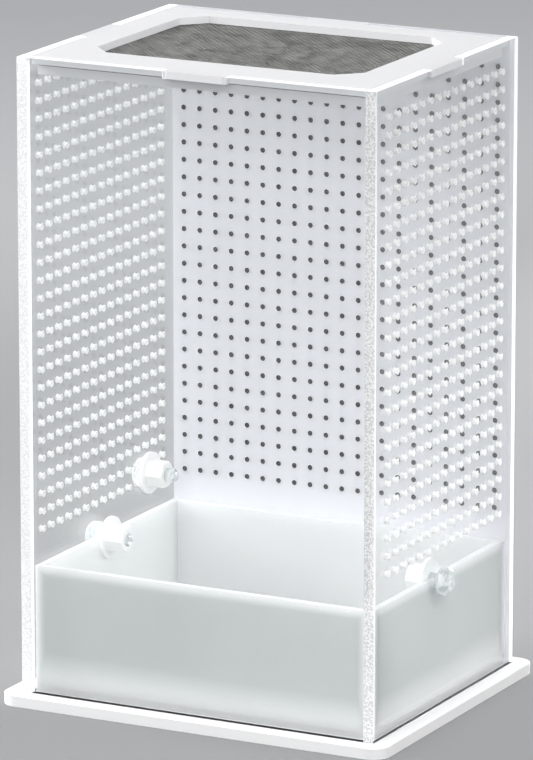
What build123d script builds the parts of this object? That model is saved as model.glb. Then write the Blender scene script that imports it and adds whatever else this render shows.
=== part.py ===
from build123d import *
import math
import os

# Ventilated acrylic display cage on a base plate, with a fixed tray and a lift-off mesh lid.
# Frame: origin under the middle of the base plate, +Z up, the plain front panel faces -Y,
# +X to the right. Millimetres.

# ---------------------------------------------------------------- driving dimensions
inner_width = 102.0          # between the side panels, along X
inner_depth = 82.0           # between the front and back panels, along Y
panel_height = 178.25        # from the base plate to the top of the panels
sheet = 3.0                  # panels and base plate

base_overhang = 5.0          # base plate past the panels, all round
base_corner = 5.0            # corner radius of the base plate

vent_pitch = 5.0             # spacing of the ventilation holes, both ways
vent_diameter = 1.5
side_vent_edge = 5.5         # least distance from a side panel's inner end to a hole centre
back_vent_edge = 3.0         # the same for the back panel
vent_top_drop = 8.25         # from the top of a panel down to the first row
vent_bottom_rise = 8.0       # least distance from the tray's rim up to the last row
vent_web = 1.0               # least material between a ventilation hole and a screw hole

tray_sheet = 2.0
tray_height = 36.0
tray_gap = 0.3               # tray to the panels, all round

lid_thickness = 2.0
lid_gap = 0.3                # lid plate to the panels, all round
tab_width = 18.5             # lid tabs, one in the middle of each side
tab_gap = 0.3                # tab to each end of its notch
tab_corner = 1.0
lid_corner = 0.8
window_width = 81.0
window_depth = 60.0
window_shift_x = -1.0        # middle of the window from the middle of the lid
window_shift_y = 2.5
window_chamfer = 6.2
mesh_thickness = 0.5
mesh_pitch = 1.0
wire_diameter = 0.24
wire_end_inset = 0.4         # wire ends inside the edge of the locating frame
frame_thickness = 2.5        # locating frame under the lid
frame_inset = 1.3            # locating frame inside the edge of the lid plate

thread_diameter = 4.0        # M4
screw_length = 12.0
thread_clearance = 0.05      # shank to nut, radial
hole_clearance = 0.2         # shank to panel, tray and washer holes, radial
head_diameter = 8.0
head_height = 2.6
head_round = 1.4
recess_length = 4.4
recess_width = 0.9
recess_depth = 1.3
shank_chamfer = 0.5
nut_flats = 7.0
nut_height = 5.0
nut_chamfer = 0.5
washer_diameter = 12.0
washer_thickness = 1.0
tray_screw_y = -2.0          # the two screws that hold the tray
tray_screw_drop = 1.0        # below the tray's rim
rear_screw_y = 25.6          # the screw that closes the spare hole in the left panel
rear_screw_rise = 11.0       # above the tray's rim

# ---------------------------------------------------------------- derived sizes and levels
outer_width = inner_width + 2 * sheet
outer_depth = inner_depth + 2 * sheet
panel_bottom = sheet
panel_top = panel_bottom + panel_height

tray_width = inner_width - 2 * tray_gap
tray_depth = inner_depth - 2 * tray_gap
tray_rim = panel_bottom + tray_height

lid_bottom = panel_top - lid_thickness
lid_width = inner_width - 2 * lid_gap
lid_depth = inner_depth - 2 * lid_gap
mesh_bottom = lid_bottom - mesh_thickness
frame_bottom = mesh_bottom - frame_thickness
frame_width = lid_width - 2 * frame_inset
frame_depth = lid_depth - 2 * frame_inset
notch_width = tab_width + 2 * tab_gap

vent_top = panel_top - vent_top_drop
vent_rows = int((vent_top - tray_rim - vent_bottom_rise) // vent_pitch) + 1
side_columns = int((inner_depth - 2 * side_vent_edge) // vent_pitch) + 1
back_columns = int((inner_width - 2 * back_vent_edge) // vent_pitch) + 1

shank_diameter = thread_diameter - 2 * thread_clearance
screw_hole = shank_diameter + 2 * hole_clearance
tray_screw = (tray_screw_y, tray_rim - tray_screw_drop)
rear_screw = (rear_screw_y, tray_rim + rear_screw_rise)

os.makedirs("parts", exist_ok=True)


def save(piece, name):
    """Labels a finished piece and writes it under its node's name."""
    piece.label = name
    export_step(piece, f"parts/{name}.step")


def vent_points(columns, screws):
    """Centres of the ventilation holes in a panel, leaving out those that meet a screw hole."""
    clear = screw_hole / 2 + vent_diameter / 2 + vent_web
    points = []
    for row in range(vent_rows):
        for column in range(columns):
            point = ((column - (columns - 1) / 2) * vent_pitch, vent_top - row * vent_pitch)
            if all(math.dist(point, screw) > clear for screw in screws):
                points.append(point)
    return points


def panel(plane, width, columns, screws):
    """A standing sheet on its plane, with its notch for a lid tab, its screw holes and vents."""
    with BuildPart() as sheet_part:
        with BuildSketch(plane) as outline:
            with Locations((0, (panel_bottom + panel_top) / 2)):
                Rectangle(width, panel_height)
            with Locations((0, panel_top)):
                Rectangle(notch_width, 2 * lid_thickness, mode=Mode.SUBTRACT)
            if screws:
                with Locations(*screws):
                    Circle(screw_hole / 2, mode=Mode.SUBTRACT)
            if columns:
                with Locations(*vent_points(columns, screws)):
                    Circle(vent_diameter / 2, mode=Mode.SUBTRACT)
        extrude(amount=sheet)
    return sheet_part.part


def washer(plane):
    """A flat ring standing on its plane."""
    with BuildPart() as ring:
        with BuildSketch(plane) as outline:
            Circle(washer_diameter / 2)
            Circle(screw_hole / 2, mode=Mode.SUBTRACT)
        extrude(amount=washer_thickness)
    return ring.part


def hex_nut(plane):
    """A hexagon nut on its plane, with the corners of its outer end chamfered."""
    corner_radius = nut_flats / math.sqrt(3)
    with BuildPart() as nut:
        with BuildSketch(plane) as blank:
            Circle(corner_radius)
        extrude(amount=nut_height)
        chamfer(nut.faces().sort_by(Axis(plane.origin, plane.z_dir))[-1].edges(), length=nut_chamfer)
        with BuildSketch(plane) as hexagon:
            RegularPolygon(corner_radius, 6)
        extrude(amount=nut_height, mode=Mode.INTERSECT)
        with BuildSketch(plane) as bore:
            Circle(thread_diameter / 2)
        extrude(amount=nut_height, mode=Mode.SUBTRACT)
    return nut.part


def pan_head_screw(plane):
    """A cross-recessed pan head screw: the head stands on its plane, the shank runs behind it."""
    along = Axis(plane.origin, plane.z_dir)
    with BuildPart() as screw:
        with BuildSketch(plane) as head:
            Circle(head_diameter / 2)
        extrude(amount=head_height)
        fillet(screw.faces().sort_by(along)[-1].edges(), radius=head_round)
        with BuildSketch(plane) as shank:
            Circle(shank_diameter / 2)
        extrude(amount=-screw_length)
        chamfer(screw.faces().sort_by(along)[0].edges(), length=shank_chamfer)
        with BuildSketch(plane.offset(head_height)) as recess:
            Rectangle(recess_length, recess_width)
            Rectangle(recess_width, recess_length)
        extrude(amount=-recess_depth, mode=Mode.SUBTRACT)
    return screw.part


def window_outline(level):
    """The lid's window, a rectangle with its corners cut off, at a height."""
    with BuildSketch(Plane.XY.offset(level)) as window:
        with Locations((window_shift_x, window_shift_y)):
            Rectangle(window_width, window_depth)
        chamfer(window.vertices(), length=window_chamfer)
    return window.sketch


# ---------------------------------------------------------------- base plate
with BuildPart() as base_plate:
    with BuildSketch(Plane.XY) as base_outline:
        RectangleRounded(
            outer_width + 2 * base_overhang, outer_depth + 2 * base_overhang, base_corner
        )
    extrude(amount=sheet)
save(base_plate.part, "base_plate")

# ---------------------------------------------------------------- panels
# The side panels run the full depth; the front and back panels stand between them.
save(
    panel(Plane.YZ.offset(-outer_width / 2), outer_depth, side_columns, [tray_screw, rear_screw]),
    "left_panel",
)
save(panel(Plane.YZ.offset(inner_width / 2), outer_depth, side_columns, [tray_screw]), "right_panel")
save(panel(Plane.XZ.offset(inner_depth / 2), inner_width, 0, []), "front_panel")
save(panel(Plane.XZ.offset(-outer_depth / 2), inner_width, back_columns, []), "back_panel")

# ---------------------------------------------------------------- tray
with BuildPart() as tray_floor:
    with BuildSketch(Plane.XY.offset(panel_bottom)) as floor_outline:
        Rectangle(tray_width, tray_depth)
    extrude(amount=tray_sheet)
save(tray_floor.part, "tray_floor")

wall_bottom = panel_bottom + tray_sheet
wall_height = tray_height - tray_sheet
wall_middle = wall_bottom + wall_height / 2

# The front and back walls run the full width; the side walls stand between them.
tray_end_planes = {
    "tray_front_wall": Plane.XZ.offset(tray_depth / 2 - tray_sheet),
    "tray_back_wall": Plane.XZ.offset(-tray_depth / 2),
}
for name, plane in tray_end_planes.items():
    with BuildPart() as tray_end:
        with BuildSketch(plane) as end_outline:
            with Locations((0, wall_middle)):
                Rectangle(tray_width, wall_height)
        extrude(amount=tray_sheet)
    save(tray_end.part, name)

# Each side wall has a notch in its rim, round at the bottom, where the screw passes.
tray_side_planes = {
    "tray_left_wall": Plane.YZ.offset(-tray_width / 2),
    "tray_right_wall": Plane.YZ.offset(tray_width / 2 - tray_sheet),
}
for name, plane in tray_side_planes.items():
    with BuildPart() as tray_side:
        with BuildSketch(plane) as side_outline:
            with Locations((0, wall_middle)):
                Rectangle(tray_depth - 2 * tray_sheet, wall_height)
            with Locations(tray_screw):
                Circle(screw_hole / 2, mode=Mode.SUBTRACT)
                Rectangle(
                    screw_hole, 2 * tray_screw_drop,
                    align=(Align.CENTER, Align.MIN), mode=Mode.SUBTRACT,
                )
        extrude(amount=tray_sheet)
    save(tray_side.part, name)

# ---------------------------------------------------------------- fasteners
left_outside = -outer_width / 2
left_inside = -inner_width / 2
right_outside = outer_width / 2


def facing(x, direction, place):
    """A plane across X at a screw's place, facing outwards along X in the direction given."""
    return Plane(origin=(x, *place), x_dir=(0, 1, 0), z_dir=(direction, 0, 0))


left_tray_inside = -tray_width / 2 + tray_sheet
right_tray_inside = tray_width / 2 - tray_sheet

save(pan_head_screw(facing(left_outside, -1, tray_screw)), "left_tray_screw")
save(pan_head_screw(facing(right_outside, 1, tray_screw)), "right_tray_screw")
save(pan_head_screw(facing(left_outside, -1, rear_screw)), "left_rear_screw")

save(washer(facing(left_tray_inside, 1, tray_screw)), "left_tray_washer")
save(washer(facing(right_tray_inside, -1, tray_screw)), "right_tray_washer")
save(washer(facing(left_inside, 1, rear_screw)), "left_rear_washer")

save(hex_nut(facing(left_tray_inside + washer_thickness, 1, tray_screw)), "left_tray_nut")
save(hex_nut(facing(right_tray_inside - washer_thickness, -1, tray_screw)), "right_tray_nut")
save(hex_nut(facing(left_inside + washer_thickness, 1, rear_screw)), "left_rear_nut")

# ---------------------------------------------------------------- lid
with BuildPart() as lid_plate:
    with BuildSketch(Plane.XY.offset(lid_bottom)) as plate_outline:
        RectangleRounded(lid_width, lid_depth, lid_corner)
    extrude(amount=lid_thickness)
    with BuildSketch(Plane.XY.offset(lid_bottom)) as tab_outline:
        RectangleRounded(tab_width, outer_depth, tab_corner)
        RectangleRounded(outer_width, tab_width, tab_corner)
    extrude(amount=lid_thickness)
    extrude(window_outline(lid_bottom), amount=lid_thickness, mode=Mode.SUBTRACT)
save(lid_plate.part, "lid_plate")

with BuildPart() as lid_frame:
    with BuildSketch(Plane.XY.offset(frame_bottom)) as frame_outline:
        Rectangle(frame_width, frame_depth)
    extrude(amount=frame_thickness)
    extrude(window_outline(frame_bottom), amount=frame_thickness, mode=Mode.SUBTRACT)
save(lid_frame.part, "lid_frame")

# ---------------------------------------------------------------- wire mesh
# The warp runs along Y just under the lid plate and the weft along X just above the frame.
warp_length = frame_depth - 2 * wire_end_inset
weft_length = frame_width - 2 * wire_end_inset
warp_count = int(weft_length // mesh_pitch)
weft_count = int(warp_length // mesh_pitch)
warp_level = lid_bottom - mesh_thickness / 4
weft_level = mesh_bottom + mesh_thickness / 4

with BuildPart() as warp_wires:
    with BuildSketch(Plane.XZ.offset(-warp_length / 2)) as warp_ends:
        with Locations((0, warp_level)):
            with GridLocations(mesh_pitch, 1, warp_count, 1):
                Circle(wire_diameter / 2)
    extrude(amount=warp_length)
save(warp_wires.part, "mesh_warp_wires")

with BuildPart() as weft_wires:
    with BuildSketch(Plane.YZ.offset(-weft_length / 2)) as weft_ends:
        with Locations((0, weft_level)):
            with GridLocations(mesh_pitch, 1, weft_count, 1):
                Circle(wire_diameter / 2)
    extrude(amount=weft_length)
save(weft_wires.part, "mesh_weft_wires")
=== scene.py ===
"""Looks for the ventilated acrylic queen cage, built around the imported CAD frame."""

import math

import bpy
import numpy as np
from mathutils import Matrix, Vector


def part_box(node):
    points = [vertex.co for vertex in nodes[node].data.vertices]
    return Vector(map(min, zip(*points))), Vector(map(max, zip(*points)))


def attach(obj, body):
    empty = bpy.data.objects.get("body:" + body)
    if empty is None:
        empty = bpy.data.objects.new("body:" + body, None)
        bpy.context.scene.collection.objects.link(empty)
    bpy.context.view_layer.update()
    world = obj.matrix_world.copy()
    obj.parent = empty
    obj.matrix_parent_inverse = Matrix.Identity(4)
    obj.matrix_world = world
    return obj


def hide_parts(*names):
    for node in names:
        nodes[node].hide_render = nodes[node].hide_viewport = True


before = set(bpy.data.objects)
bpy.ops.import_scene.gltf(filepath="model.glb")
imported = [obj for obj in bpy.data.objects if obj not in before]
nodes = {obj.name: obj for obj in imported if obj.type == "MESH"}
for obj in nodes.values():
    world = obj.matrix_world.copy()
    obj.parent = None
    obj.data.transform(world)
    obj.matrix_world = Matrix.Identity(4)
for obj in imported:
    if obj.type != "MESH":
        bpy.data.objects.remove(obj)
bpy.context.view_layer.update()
MM = 0.001

# ---------------------------------------------------------------- driving values
CAMERA_TARGET = Vector((-1.2, 0.7, 87.7)) * MM
CAMERA_AZIMUTH = math.radians(27.19)
CAMERA_ELEVATION = math.radians(13.79)
CAMERA_DISTANCE = 1.78
CAMERA_LENS = 306.3

VENT_PITCH = 5.0 * MM
VENT_RADIUS = 0.75 * MM
VENT_TOP_DROP = 8.25 * MM
VENT_ROWS = 26
SIDE_COLUMNS = 15
BACK_COLUMNS = 20
VENT_WEB = 3.9 * MM          # least distance from a ventilation hole to a screw hole, centres
LIP_WIDTH = 0.3 * MM         # melted lip that the laser leaves around each hole
LIP_CREST = 0.4              # where across its width the lip is highest
LIP_HEIGHT = 0.12 * MM
LIP_SINK = 0.02 * MM
LIP_SIDES = 12
WIRE_PITCH = 1.0 * MM
WIRE_RADIUS = 0.12 * MM
WIRE_SIDES = 6
TRAY_PAINTED_RIM_LIGHT = 3.5 * MM         # width of the painted light, a lighter band, along the edges of the tray's outer faces
TRAY_PAINTED_FOOT_LIGHT = 12.0 * MM   # height over which painted light, as if thrown up by the base, fades on the tray's foot
TRAY_SKIN = 1.0 * MM         # what lies deeper than this in the tray's walls counts as inside, which takes the painted light of the lit interior
FRONT_EDGE_DEPTH = 0.1 * MM  # how far behind the side panels' front edges still counts as edge
BASE_EDGE = 0.2 * MM         # bevel widths
SHEET_EDGE = 0.15 * MM
NYLON_EDGE = 0.12 * MM

ACRYLIC_IOR = 1.49
POLYCARBONATE_IOR = 1.58
SHEET_WAVINESS = 0.04
BACK_WAVINESS = 0.06
FROST_TRANSLUCENCY = 0.45
TRAY_TRANSLUCENCY = 0.4
BACK_TRANSLUCENCY = 0.5
HOLE_SHADE_REACH = 1.15            # hole walls painted dark as shade are looked for this many hole radii out
# near-black painted shade for the back panel's hole walls
PAINTED_HOLE_SHADE = (0.09, 0.09, 0.095, 1.0)
CUT_FACE_SLOPE = 0.5         # cut faces have less than this of their normal across the sheet


# ---------------------------------------------------------------- node helpers
def new_material(name):
    """An empty node material, its tree and its output."""
    mat = bpy.data.materials.new(name)
    mat.use_nodes = True
    tree = mat.node_tree
    tree.nodes.clear()
    output = tree.nodes.new("ShaderNodeOutputMaterial")
    return mat, tree, output


def add(tree, kind, inputs=None, **settings):
    """A node of a kind, with its settings and with each input a value or another node's output."""
    node = tree.nodes.new("ShaderNode" + kind)
    for name, value in settings.items():
        setattr(node, name, value)
    for name, value in (inputs or {}).items():
        socket = node.inputs[name]
        if isinstance(value, bpy.types.NodeSocket):
            tree.links.new(value, socket)
        else:
            socket.default_value = value
    return node


def maths(tree, operation, first, second=0.0):
    """The output of a math node."""
    return add(tree, "Math", {0: first, 1: second}, operation=operation).outputs[0]


def blend_colour(tree, factor, low, high):
    """A colour between low and high."""
    node = add(tree, "Mix", data_type="RGBA")
    for socket, value in ((node.inputs[0], factor), (node.inputs[6], low), (node.inputs[7], high)):
        if isinstance(value, bpy.types.NodeSocket):
            tree.links.new(value, socket)
        else:
            socket.default_value = value
    return node.outputs[2]


def noise(tree, place, scale, detail=3.0, roughness=0.5):
    """The output of a noise texture, about 0 to 1."""
    inputs = {"Vector": place, "Scale": scale, "Detail": detail, "Roughness": roughness}
    return add(tree, "TexNoise", inputs).outputs[0]


def ramp(tree, value, low, high, to_low=0.0, to_high=1.0):
    """A value mapped smoothly from one range to another, and clamped."""
    inputs = {
        "Value": value, "From Min": low, "From Max": high, "To Min": to_low, "To Max": to_high,
    }
    return add(tree, "MapRange", inputs, interpolation_type="SMOOTHSTEP").outputs[0]


def grey(value):
    """An opaque grey."""
    return (value, value, value, 1.0)


def mix_shaders(tree, factor, first, second):
    """The output of a mix of two shaders' outputs."""
    return add(tree, "MixShader", {0: factor, 1: first, 2: second}).outputs[0]


def vent_distance(tree, place, across, columns):
    """Distance from a point on a panel to the middle of the nearest ventilation hole."""
    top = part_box("back_panel")[1].z - VENT_TOP_DROP
    parts = add(tree, "SeparateXYZ", {0: place})
    shift = 0.5 if columns % 2 else 0.0
    rise = 0.5 - top / VENT_PITCH
    offsets = []
    for value, start in ((parts.outputs[across], shift), (parts.outputs[2], rise)):
        steps = maths(tree, "ADD", maths(tree, "DIVIDE", value, VENT_PITCH), start)
        cells = maths(tree, "FRACT", steps)
        offset = maths(tree, "MULTIPLY", maths(tree, "SUBTRACT", cells, 0.5), VENT_PITCH)
        offsets.append(maths(tree, "MULTIPLY", offset, offset))
    distance = maths(tree, "SQRT", maths(tree, "ADD", *offsets))
    low = top - (VENT_ROWS - 0.5) * VENT_PITCH
    outside = maths(tree, "LESS_THAN", parts.outputs[2], low)
    return maths(tree, "ADD", distance, maths(tree, "MULTIPLY", outside, VENT_PITCH))


def cut_faces(tree, coords, axis):
    """1 on the faces cut through a sheet, whose normals lie across its thickness, else 0."""
    normal = add(tree, "SeparateXYZ", {0: coords.outputs["Normal"]})
    across = maths(tree, "ABSOLUTE", normal.outputs[axis])
    return maths(tree, "LESS_THAN", across, CUT_FACE_SLOPE)


# ---------------------------------------------------------------- materials
def frosted(tree, place, dark, light):
    """Laser-cut acrylic: white, finely grained between two tones, lit from both sides."""
    grain = ramp(tree, noise(tree, place, 1800.0, 2.0), 0.4, 0.6)
    frost = add(tree, "BsdfPrincipled", {
        "Base Color": blend_colour(tree, grain, grey(dark), grey(light)),
        "Roughness": 0.42, "IOR": 1.0,
    })
    glow = add(tree, "BsdfTranslucent", {"Color": grey(light)})
    return mix_shaders(tree, FROST_TRANSLUCENCY, frost.outputs[0], glow.outputs[0])


def opal_sheet(tree, place, tone, scuff, waviness, translucency):
    """Glossy opal sheet of a tone, gently wavy, that passes some light."""
    waves = add(tree, "Bump", {
        "Height": noise(tree, place, 30.0, 1.0), "Strength": waviness, "Distance": 1.0 * MM,
    })
    sheet = add(tree, "BsdfPrincipled", {
        "Base Color": tone, "Roughness": scuff, "IOR": ACRYLIC_IOR,
        "Normal": waves.outputs[0], "Coat Weight": 0.3, "Coat Roughness": 0.06,
    })
    through = add(tree, "BsdfTranslucent", {"Color": tone})
    return mix_shaders(tree, translucency, sheet.outputs[0], through.outputs[0])


def clouded(tree, place, colour):
    """A colour with faint mould unevenness."""
    dull = tuple(0.975 * c for c in colour) + (1.0,)
    return blend_colour(tree, noise(tree, place, 18.0), dull, tuple(colour) + (1.0,))


def scuffed(tree, place, low, high):
    """A roughness with fine scuffs."""
    return ramp(tree, noise(tree, place, 160.0, 5.0, 0.65), 0.5, 0.8, low, high)


def frosted_acrylic(name):
    """The melted, frosted lip of a laser-cut hole."""
    mat, tree, output = new_material(name)
    place = add(tree, "TexCoord").outputs["Object"]
    tree.links.new(frosted(tree, place, 0.93, 0.99), output.inputs["Surface"])
    return mat


def clear_acrylic(name, axis, edge_dark, edge_light):
    """Clear sheet: polished faces, grained front edge, frosted holes. Lamps shine through it."""
    mat, tree, output = new_material(name)
    coords = add(tree, "TexCoord")
    place = coords.outputs["Object"]
    smudge = ramp(tree, noise(tree, place, 45.0), 0.45, 0.75, 0.0, 0.03)
    glass = add(tree, "BsdfPrincipled", {
        "Base Color": (0.975, 0.985, 0.985, 1.0), "Roughness": smudge,
        "IOR": ACRYLIC_IOR, "Transmission Weight": 1.0,
    })
    clear = add(tree, "BsdfTransparent", {"Color": (0.96, 0.97, 0.97, 1.0)})
    path = add(tree, "LightPath")
    passing = maths(tree, "MAXIMUM", path.outputs["Is Shadow Ray"], path.outputs["Is Diffuse Ray"])
    pane = mix_shaders(tree, passing, glass.outputs[0], clear.outputs[0])
    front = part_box("left_panel")[0].y + FRONT_EDGE_DEPTH
    ahead = maths(tree, "LESS_THAN", add(tree, "SeparateXYZ", {0: place}).outputs[1], front)
    holes = frosted(tree, place, 0.9, 0.98)
    edge = frosted(tree, place, edge_dark, edge_light)
    sawn = mix_shaders(tree, ahead, holes, edge)
    surface = mix_shaders(tree, cut_faces(tree, coords, axis), pane, sawn)
    tree.links.new(surface, output.inputs["Surface"])
    return mat


def white_acrylic(name, colour, roughness, translucency, edge_colour=None):
    """Opal sheet with faint mould unevenness, fine scuffs and, if given, duller upright edges."""
    mat, tree, output = new_material(name)
    coords = add(tree, "TexCoord")
    place = coords.outputs["Object"]
    tone = clouded(tree, place, colour)
    scuff = scuffed(tree, place, roughness, roughness + 0.12)
    if edge_colour:
        cut = cut_faces(tree, coords, 2)
        tone = blend_colour(tree, cut, tone, edge_colour + (1.0,))
        scuff = maths(tree, "ADD", scuff, maths(tree, "MULTIPLY", cut, 0.25))
    surface = opal_sheet(tree, place, tone, scuff, SHEET_WAVINESS, translucency)
    tree.links.new(surface, output.inputs["Surface"])
    return mat


def tray_acrylic(name, inside, outside):
    """Translucent opal sheet with painted light: lighter inside, along its outer edges and at its
    foot; the rest of its outer faces take the darker tone, painted shade.
    """
    mat, tree, output = new_material(name)
    place = add(tree, "TexCoord").outputs["Object"]
    parts = add(tree, "SeparateXYZ", {0: place})
    low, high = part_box("tray_back_wall")
    in_x = maths(tree, "SUBTRACT", high.x, maths(tree, "ABSOLUTE", parts.outputs[0]))
    in_y = maths(tree, "SUBTRACT", high.y, maths(tree, "ABSOLUTE", parts.outputs[1]))
    below_rim = maths(tree, "SUBTRACT", high.z, parts.outputs[2])
    rim = maths(tree, "MINIMUM", maths(tree, "MAXIMUM", in_x, in_y), below_rim)
    # Painted light: a lighter band along the edges of the tray's outer faces.
    glow = ramp(tree, rim, 0.0, TRAY_PAINTED_RIM_LIGHT, 1.0, 0.0)
    # Painted light: the foot is lighter, as if lit from the base below it.
    foot = ramp(tree, parts.outputs[2], low.z, low.z + TRAY_PAINTED_FOOT_LIGHT, 0.9, 0.0)
    cloud = ramp(tree, noise(tree, place, 18.0), 0.3, 0.7, 0.0, 0.15)
    painted_light_mask = maths(tree, "MAXIMUM", maths(tree, "MAXIMUM", glow, foot), cloud)
    # Painted light: the tray's inside, deeper than the skin, takes the inside tone whole.
    depth = maths(tree, "MINIMUM", in_x, in_y)
    inner = maths(tree, "GREATER_THAN", depth, TRAY_SKIN)
    painted_light_mask = maths(tree, "MAXIMUM", painted_light_mask, inner)
    # The inside tone is painted light, the outside tone painted shade.
    tone = blend_colour(tree, painted_light_mask, outside + (1.0,), inside + (1.0,))
    scuff = scuffed(tree, place, 0.1, 0.22)
    surface = opal_sheet(tree, place, tone, scuff, SHEET_WAVINESS, TRAY_TRANSLUCENCY)
    tree.links.new(surface, output.inputs["Surface"])
    return mat


def opal_back(name, colour):
    """Translucent opal sheet that light from behind brightens, with painted shade, near black, on
    its hole walls.
    """
    mat, tree, output = new_material(name)
    coords = add(tree, "TexCoord")
    place = coords.outputs["Object"]
    distance = vent_distance(tree, place, 0, BACK_COLUMNS)
    # Painted shade: the cut walls of the ventilation holes, where shade falls, are coloured near
    # black.
    hole = maths(tree, "LESS_THAN", distance, HOLE_SHADE_REACH * VENT_RADIUS)
    painted_hole_shade = maths(tree, "MULTIPLY", hole, cut_faces(tree, coords, 1))
    tone = blend_colour(tree, painted_hole_shade, clouded(tree, place, colour), PAINTED_HOLE_SHADE)
    scuff = scuffed(tree, place, 0.1, 0.24)
    surface = opal_sheet(tree, place, tone, scuff, BACK_WAVINESS, BACK_TRANSLUCENCY)
    tree.links.new(surface, output.inputs["Surface"])
    return mat


def nylon(name):
    """Moulded white nylon, slightly waxy."""
    mat, tree, output = new_material(name)
    place = add(tree, "TexCoord").outputs["Object"]
    grain = noise(tree, place, 700.0, 3.0)
    bump = add(tree, "Bump", {"Height": grain, "Strength": 0.15, "Distance": 0.1 * MM})
    shader = add(tree, "BsdfPrincipled", {
        "Base Color": blend_colour(tree, grain, grey(0.94), (0.99, 0.99, 0.98, 1.0)),
        "Roughness": ramp(tree, grain, 0.3, 0.7, 0.32, 0.45), "Normal": bump.outputs[0],
    })
    tree.links.new(shader.outputs[0], output.inputs["Surface"])
    return mat


def clear_polycarbonate(name):
    """Moulded clear plastic with faint flow lines."""
    mat, tree, output = new_material(name)
    place = add(tree, "TexCoord").outputs["Object"]
    flow = noise(tree, place, 400.0, 2.0)
    bump = add(tree, "Bump", {"Height": flow, "Strength": 0.12, "Distance": 0.2 * MM})
    glass = add(tree, "BsdfPrincipled", {
        "Base Color": (0.88, 0.90, 0.90, 1.0), "Roughness": ramp(tree, flow, 0.3, 0.7, 0.1, 0.22),
        "IOR": POLYCARBONATE_IOR, "Transmission Weight": 0.78, "Normal": bump.outputs[0],
    })
    clear = add(tree, "BsdfTransparent", {"Color": (0.85, 0.87, 0.88, 1.0)})
    shadow = add(tree, "LightPath").outputs["Is Shadow Ray"]
    surface = mix_shaders(tree, shadow, glass.outputs[0], clear.outputs[0])
    tree.links.new(surface, output.inputs["Surface"])
    return mat


def stainless_wire(name):
    """Drawn stainless wire, dull and a little uneven."""
    mat, tree, output = new_material(name)
    place = add(tree, "TexCoord").outputs["Object"]
    tone = noise(tree, place, 260.0, 4.0)
    dull, bright = (0.13, 0.13, 0.126, 1.0), (0.36, 0.36, 0.345, 1.0)
    shader = add(tree, "BsdfPrincipled", {
        "Base Color": blend_colour(tree, tone, dull, bright),
        "Metallic": 1.0, "Roughness": ramp(tree, tone, 0.3, 0.7, 0.3, 0.5),
    })
    tree.links.new(shader.outputs[0], output.inputs["Surface"])
    return mat


def floor_paint(name, near, far):
    """Plain pale studio floor, paler away from the lamps so that its tone stays even."""
    mat, tree, output = new_material(name)
    place = add(tree, "TexCoord").outputs["Object"]
    distance = add(tree, "VectorMath", {0: place}, operation="LENGTH").outputs["Value"]
    away = ramp(tree, distance, 0.2, 1.0)
    even = blend_colour(tree, away, near + (1.0,), far + (1.0,))
    mottle = ramp(tree, noise(tree, place, 3.0), 0.0, 1.0, 0.0, 0.02)
    tone = blend_colour(tree, mottle, even, grey(0.0))
    shader = add(tree, "BsdfPrincipled", {"Base Color": tone, "Roughness": 0.8, "IOR": 1.3})
    tree.links.new(shader.outputs[0], output.inputs["Surface"])
    return mat


# ---------------------------------------------------------------- mesh helpers
def new_object(name, vertices, faces, material):
    """A smooth-shaded mesh object made from arrays."""
    mesh = bpy.data.meshes.new(name)
    mesh.from_pydata([tuple(v) for v in vertices], [], [tuple(f) for f in faces])
    mesh.shade_smooth()
    mesh.update()
    mesh.materials.append(material)
    obj = bpy.data.objects.new(name, mesh)
    bpy.context.scene.collection.objects.link(obj)
    return obj


def tube(path, side, up, radius, sides):
    """Vertices and faces of a closed tube along a path whose sections lie in the side-up plane."""
    angles = np.arange(sides) * 2 * math.pi / sides
    ring = np.outer(np.cos(angles), side) + np.outer(np.sin(angles), up)
    vertices = (path[:, None, :] + radius * ring[None, :, :]).reshape(-1, 3)
    faces = []
    for step in range(len(path) - 1):
        low = step * sides
        for k in range(sides):
            after = (k + 1) % sides
            faces.append((low + k, low + after, low + sides + after, low + sides + k))
    last = (len(path) - 1) * sides
    faces.append(tuple(range(sides))[::-1])
    faces.append(tuple(range(last, last + sides)))
    return vertices, faces


def woven_wires(name, node, other, along, phase, material):
    """One set of a plain weave's wires, each passing over and under the wires across it."""
    low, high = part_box(node)
    other_low, other_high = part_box(other)
    across = 1 - along
    level = (min(low.z, other_low.z) + max(high.z, other_high.z)) / 2
    count = round((high[across] - low[across] - 2 * WIRE_RADIUS) / WIRE_PITCH) + 1
    crossings = round((other_high[along] - other_low[along] - 2 * WIRE_RADIUS) / WIRE_PITCH) + 1
    half = (high[along] - low[along]) / 2
    first = -(crossings - 1) / 2 * WIRE_PITCH
    inner = first + np.arange(2 * crossings - 1) * WIRE_PITCH / 2
    places = np.concatenate(([-half], inner, [half]))
    side = np.zeros(3)
    side[across] = 1.0
    vertices, faces = [], []
    for wire in range(count):
        swing = np.cos(math.pi * ((places - first) / WIRE_PITCH + wire + phase))
        path = np.zeros((len(places), 3))
        path[:, along] = places
        path[:, across] = (wire - (count - 1) / 2) * WIRE_PITCH
        path[:, 2] = level + WIRE_RADIUS * swing
        points, quads = tube(path, side, np.array((0.0, 0.0, 1.0)), WIRE_RADIUS, WIRE_SIDES)
        start = len(vertices) * len(points)
        vertices.append(points)
        faces.extend(tuple(start + k for k in quad) for quad in quads)
    obj = new_object(name, np.concatenate(vertices), faces, material)
    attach(obj, "lid")
    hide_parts(node)
    return obj


def vent_centres(columns, screws):
    """Centres of a panel's ventilation holes, across it and up, clear of its screws."""
    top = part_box("back_panel")[1].z - VENT_TOP_DROP
    centres = []
    for row in range(VENT_ROWS):
        for column in range(columns):
            across = (column - (columns - 1) / 2) * VENT_PITCH
            up = top - row * VENT_PITCH
            if all(math.dist((across, up), screw) > VENT_WEB for screw in screws):
                centres.append((across, up))
    return centres


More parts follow.
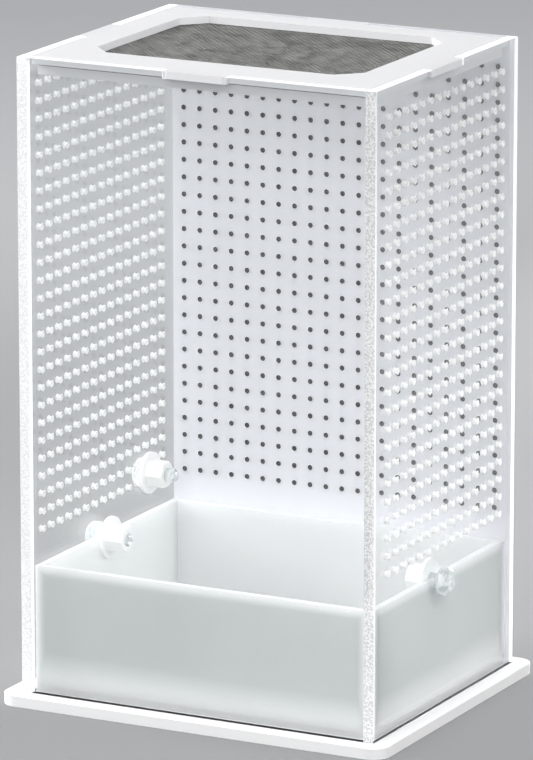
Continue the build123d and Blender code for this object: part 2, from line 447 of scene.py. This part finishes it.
def vent_lips(name, node, axis, columns, screws, material):
    """Raised lips around the mouths of a panel's ventilation holes, on both of its faces."""
    low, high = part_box(node)
    across = 1 - axis
    profile = (
        (VENT_RADIUS, -LIP_SINK),
        (VENT_RADIUS + LIP_CREST * LIP_WIDTH, LIP_HEIGHT),
        (VENT_RADIUS + LIP_WIDTH, -LIP_SINK),
    )
    angles = np.arange(LIP_SIDES) * 2 * math.pi / LIP_SIDES
    vertices, faces = [], []
    for face, outward in ((low[axis], -1), (high[axis], 1)):
        ring = np.zeros((LIP_SIDES, len(profile), 3))
        for k, (radius, height) in enumerate(profile):
            ring[:, k, across] = radius * np.cos(angles)
            ring[:, k, 2] = radius * np.sin(angles)
            ring[:, k, axis] = face + outward * height
        turned = outward * (1 if axis else -1)
        for centre in vent_centres(columns, screws):
            start = len(vertices) * ring.shape[0] * ring.shape[1]
            lip = ring.copy()
            lip[:, :, across] += centre[0]
            lip[:, :, 2] += centre[1]
            vertices.append(lip.reshape(-1, 3))
            for j in range(LIP_SIDES):
                after = (j + 1) % LIP_SIDES
                for k in range(len(profile)):
                    beyond = (k + 1) % len(profile)
                    quad = (j * len(profile) + k, j * len(profile) + beyond,
                            after * len(profile) + beyond, after * len(profile) + k)
                    faces.append(tuple(start + v for v in quad[::turned]))
    obj = new_object(name, np.concatenate(vertices), faces, material)
    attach(obj, "cage")
    return obj


def screw_place(node):
    """Where a screw stands on its panel, across it and up."""
    low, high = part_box(node)
    return ((low.y + high.y) / 2, (low.z + high.z) / 2)


def set_material(node, material):
    """Puts one material on every slot of a CAD node."""
    mesh = nodes[node].data
    if not mesh.materials:
        mesh.materials.append(material)
    for slot in range(len(mesh.materials)):
        mesh.materials[slot] = material


def soften(node, width):
    """A fine rounded edge on a CAD node, so that its edges catch the light."""
    bevel = nodes[node].modifiers.new("edge", "BEVEL")
    bevel.width = width
    bevel.segments = 2
    bevel.limit_method = "ANGLE"
    bevel.angle_limit = math.radians(40)


# ---------------------------------------------------------------- the cage
set_material("left_panel", clear_acrylic("clear acrylic left", 0, 0.72, 0.99))
# The right panel's front edge is painted darker, 0.34 to 0.74, as shade; the same cut edge on the
# left and front panels takes 0.72 to 0.99.
set_material("right_panel", clear_acrylic("clear acrylic right", 0, 0.34, 0.74))
set_material("front_panel", clear_acrylic("clear acrylic front", 1, 0.72, 0.99))
set_material("back_panel", opal_back("opal acrylic back", (0.81, 0.815, 0.84)))

frosted_lip = frosted_acrylic("frosted lip")
opal_lip = white_acrylic("opal lip", (0.96, 0.96, 0.965), 0.08, 0.3)
left_screws = [screw_place("left_tray_screw"), screw_place("left_rear_screw")]
right_screws = [screw_place("right_tray_screw")]
vent_lips(
    "left_vent_lips", "left_panel", 0, SIDE_COLUMNS, left_screws, frosted_lip
)
vent_lips(
    "right_vent_lips", "right_panel", 0, SIDE_COLUMNS, right_screws, frosted_lip
)
vent_lips("back_vent_lips", "back_panel", 1, BACK_COLUMNS, [], opal_lip)

base_material = white_acrylic(
    "opal acrylic base", (0.97, 0.97, 0.975), 0.12, 0.15, (0.88, 0.88, 0.88)
)
set_material("base_plate", base_material)
soften("base_plate", BASE_EDGE)

# Lit and shaded copies of one white opal: the inside tone is painted light, the darker outside tone
# painted shade.
tray_material = tray_acrylic("opal acrylic tray", (0.99, 0.99, 0.99), (0.62, 0.64, 0.635))
for part in ("floor", "front_wall", "back_wall", "left_wall", "right_wall"):
    set_material("tray_" + part, tray_material)
    soften("tray_" + part, SHEET_EDGE)

white_nylon = nylon("white nylon")
for piece in ("left_tray_washer", "right_tray_washer", "left_rear_washer",
              "left_tray_nut", "right_tray_nut", "left_rear_nut"):
    set_material(piece, white_nylon)
    soften(piece, NYLON_EDGE)

polycarbonate = clear_polycarbonate("clear polycarbonate")
for piece in ("left_tray_screw", "right_tray_screw", "left_rear_screw"):
    set_material(piece, polycarbonate)

# ---------------------------------------------------------------- the lid
lid_material = white_acrylic("opal acrylic lid", (0.79, 0.79, 0.80), 0.16, 0.25)
for piece in ("lid_plate", "lid_frame"):
    set_material(piece, lid_material)
    soften(piece, SHEET_EDGE)

wire = stainless_wire("stainless wire")
woven_wires("woven_warp_wires", "mesh_warp_wires", "mesh_weft_wires", 1, 0, wire)
woven_wires("woven_weft_wires", "mesh_weft_wires", "mesh_warp_wires", 0, 1, wire)

# ---------------------------------------------------------------- floor and light
FLOOR_SIZE = 14.0
bpy.ops.mesh.primitive_plane_add(size=FLOOR_SIZE, location=(0, 0, 0))
floor = bpy.context.object
floor.name = "studio_floor"
floor.data.materials.append(floor_paint("studio floor", (0.21, 0.212, 0.215), (0.75, 0.755, 0.765)))

world = bpy.context.scene.world or bpy.data.worlds.new("studio")
bpy.context.scene.world = world
world.use_nodes = True
world_nodes = world.node_tree.nodes
background = world_nodes.get("Background") or world_nodes.new("ShaderNodeBackground")
background.inputs["Color"].default_value = (0.97, 0.975, 1.0, 1.0)
background.inputs["Strength"].default_value = 0.50


def softbox(name, place, target, size, power, spread=70):
    """A square area light that faces a point, its beam spread given in degrees."""
    lamp = bpy.data.lights.new(name, "AREA")
    lamp.size = size
    lamp.energy = power
    lamp.spread = math.radians(spread)
    obj = bpy.data.objects.new(name, lamp)
    obj.location = place
    obj.rotation_euler = (Vector(target) - Vector(place)).to_track_quat("-Z", "Y").to_euler()
    obj.visible_camera = False
    obj.visible_transmission = False
    bpy.context.scene.collection.objects.link(obj)


MIDDLE = (0.0, 0.0, 0.09)
softbox("left_softbox", (-1.20, -0.10, 0.70), MIDDLE, 0.7, 5.6)
softbox("overhead_softbox", (0.05, -0.55, 1.05), MIDDLE, 0.8, 1.4)
softbox("front_softbox", (0.15, -1.30, 0.50), MIDDLE, 0.6, 1.1)
softbox("right_softbox", (1.15, 0.15, 0.50), MIDDLE, 0.6, 1.2)
softbox("back_softbox", (0.05, 0.75, 0.16), (0.0, 0.04, 0.0), 0.3, 0.75, 40)

# ---------------------------------------------------------------- camera
camera = bpy.data.objects.new("camera", bpy.data.cameras.new("camera"))
camera.data.lens = CAMERA_LENS
camera.data.clip_start = 0.05
camera.data.clip_end = 50.0
outward = Vector((
    math.sin(CAMERA_AZIMUTH) * math.cos(CAMERA_ELEVATION),
    -math.cos(CAMERA_AZIMUTH) * math.cos(CAMERA_ELEVATION),
    math.sin(CAMERA_ELEVATION),
))
camera.location = CAMERA_TARGET + CAMERA_DISTANCE * outward
camera.rotation_euler = (-outward).to_track_quat("-Z", "Y").to_euler()
bpy.context.scene.collection.objects.link(camera)
bpy.context.scene.camera = camera

scene = bpy.context.scene
scene.view_settings.view_transform = "Standard"
scene.cycles.max_bounces = 24
scene.cycles.transmission_bounces = 20
scene.cycles.transparent_max_bounces = 24
scene.cycles.diffuse_bounces = 6
scene.cycles.glossy_bounces = 6
